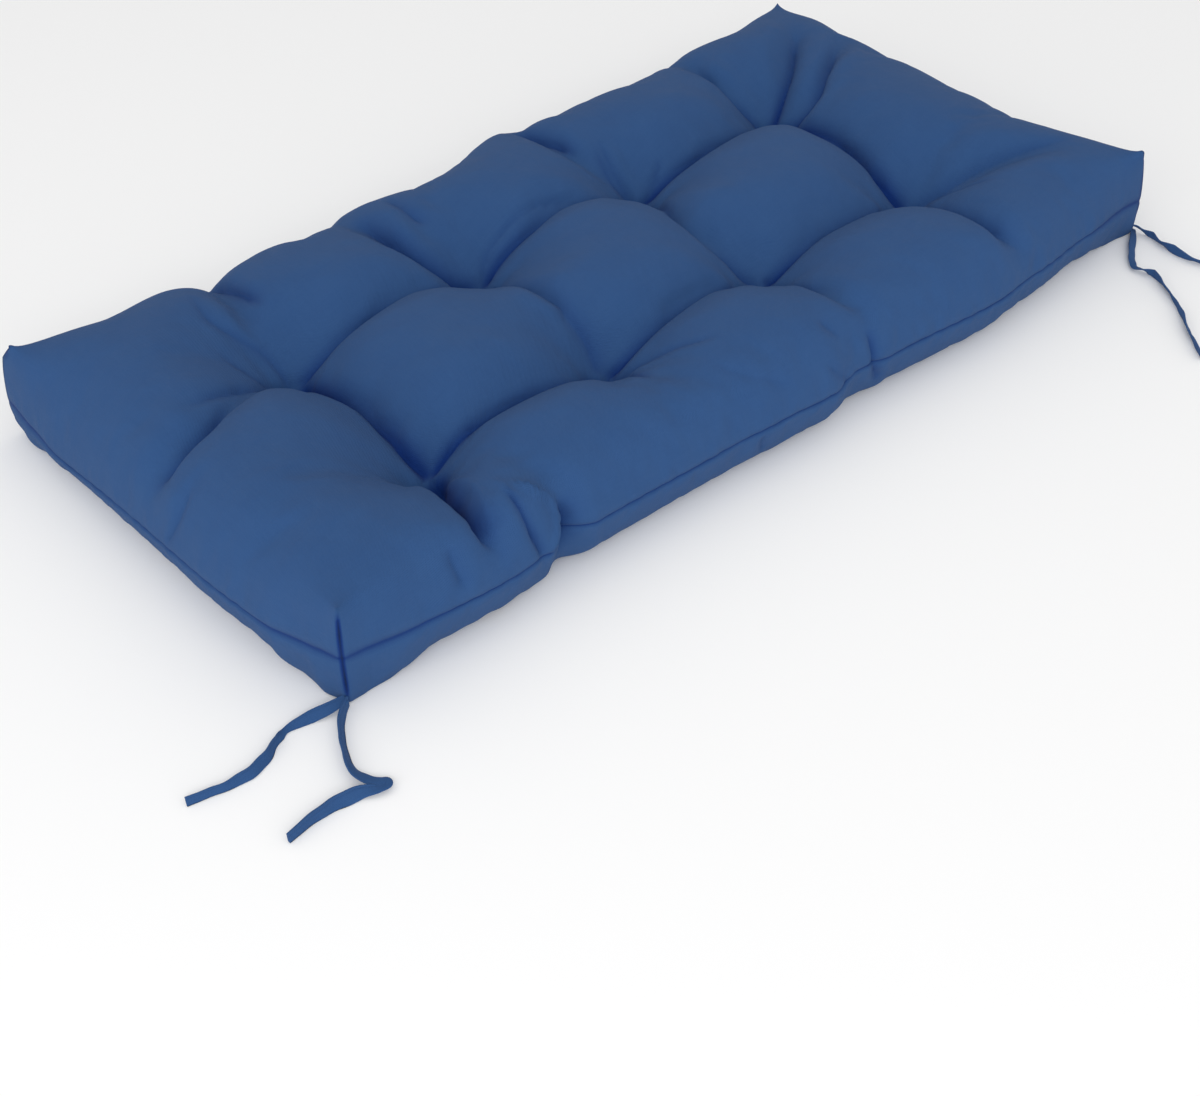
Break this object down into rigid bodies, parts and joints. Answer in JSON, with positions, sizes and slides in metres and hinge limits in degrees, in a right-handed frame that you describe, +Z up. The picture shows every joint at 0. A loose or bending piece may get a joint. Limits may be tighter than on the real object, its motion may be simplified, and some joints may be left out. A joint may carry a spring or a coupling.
{
  "type": "tufted bench cushion",
  "caption": "Filled rectangular bench cushion of plain woven cloth, tufted in rows, with a seam round the middle of its sides and tie strips at its corners.",
  "frame": {"origin": "under the middle of the filled cushion, on the surface that it lies on", "axes": "+X along the length, from the left end to the right end; +Y from the front edge to the back edge; +Z up, through the cushion's thickness"},
  "size_m": [1.1635, 0.6854, 0.1116],
  "materials": {
    "cushion_cloth": "matt plain-woven polyester",
    "tie_cloth": "matt plain-woven polyester, folded and stitched"
  },
  "bodies": {
    "root": {"cushion": "cushion_cloth", "tie_near_left": "tie_cloth", "tie_near_front": "tie_cloth", "tie_right_side": "tie_cloth", "tie_right_front": "tie_cloth"}
  },
  "joints": []
}
